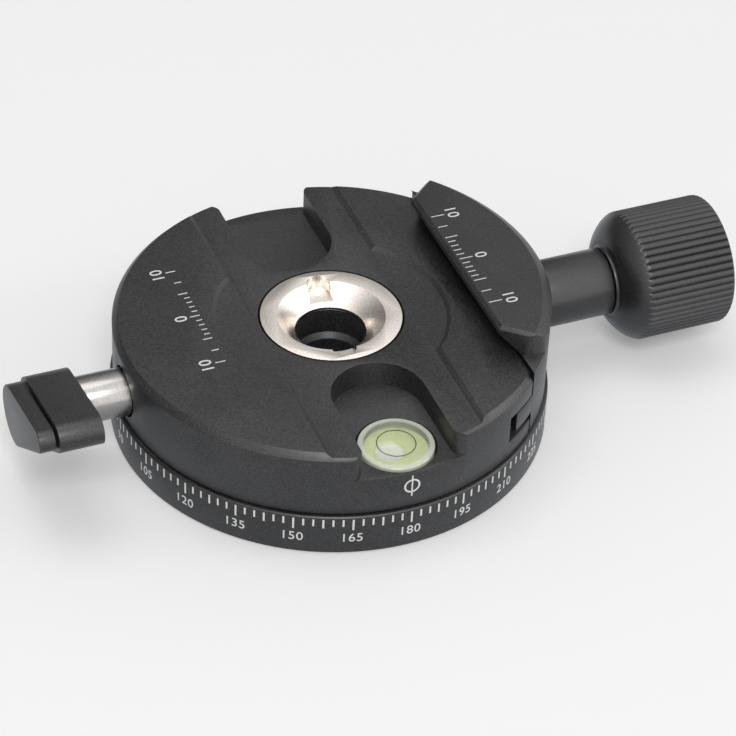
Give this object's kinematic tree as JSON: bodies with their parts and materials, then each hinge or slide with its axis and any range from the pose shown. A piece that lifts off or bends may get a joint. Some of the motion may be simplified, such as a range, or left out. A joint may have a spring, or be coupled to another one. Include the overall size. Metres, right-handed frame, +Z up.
{
  "type": "panning clamp",
  "caption": "Round quick-release clamp with a fixed and a screw-driven dovetail jaw, a bubble level, a locking lever and a scale ring that it pans on.",
  "frame": {"origin": "where the pan axis meets the underside of the base ring", "axes": "+Z up along the pan axis; +X from the fixed jaw to the moving jaw and the clamping knob; +Y along the plate channel, away from the bubble level"},
  "size_m": [0.1018, 0.06, 0.0208],
  "materials": {
    "black_aluminium": "satin black anodised",
    "knob_aluminium": "matte black anodised",
    "turned_steel": "turned and brushed",
    "hard_steel": "plain",
    "brass": "plain",
    "white_nylon": "matte",
    "clear_acrylic": "clear",
    "level_liquid": "clear yellow-green liquid",
    "cap_aluminium": "light anodised"
  },
  "bodies": {
    "base": {"base_ring": "black_aluminium", "retaining_ring": "turned_steel", "friction_washer": "white_nylon", "spindle_washer": "hard_steel"},
    "clamp": {"clamp_body": "black_aluminium", "screw_bush": "hard_steel", "lock_bush": "brass", "level_vial": "clear_acrylic", "level_base": "white_nylon", "level_fluid": "level_liquid", "jaw_spring_front": "hard_steel", "jaw_spring_rear": "hard_steel"},
    "jaw": {"moving_jaw": "black_aluminium", "jaw_pin_front": "hard_steel", "jaw_pin_rear": "hard_steel"},
    "knob": {"clamp_screw": "hard_steel", "screw_clip": "hard_steel", "knob_washer": "white_nylon", "knob_sleeve": "black_aluminium", "clamp_knob": "knob_aluminium", "knob_end_screw": "hard_steel"},
    "brake": {"brake_pad": "white_nylon"},
    "lever": {"lock_shaft": "turned_steel", "lock_lever": "black_aluminium", "lever_cap": "cap_aluminium", "lever_screw": "hard_steel"}
  },
  "joints": [
    {"name": "pan", "type": "hinge", "parent": "base", "child": "clamp", "pos_m": [0, 0, 0.0066], "axis": [0, 0, 1], "continuous": true},
    {"name": "jaw_slide", "type": "slide", "parent": "clamp", "child": "jaw", "axis": [1, 0, 0], "range_m": [0, 0.003], "deforming": ["jaw_spring_front", "jaw_spring_rear"]},
    {"name": "knob_turn", "type": "hinge", "parent": "jaw", "child": "knob", "pos_m": [0.0408, 0, 0.0114], "axis": [1, 0, 0], "range_deg": [0, 1081]},
    {"name": "brake_slide", "type": "slide", "parent": "clamp", "child": "brake", "axis": [1, 0, 0], "range_m": [-0.00025, 0.00016667]},
    {"name": "lever_turn", "type": "hinge", "parent": "brake", "child": "lever", "pos_m": [-0.0363, 0, 0.01065], "axis": [1, 0, 0], "range_deg": [-91, 61]}
  ],
  "couplings": [
    {"joint": "knob_turn", "follows": "jaw_slide", "rad_per_m": 6283.2},
    {"joint": "lever_turn", "follows": "brake_slide", "rad_per_m": 6283.2}
  ]
}
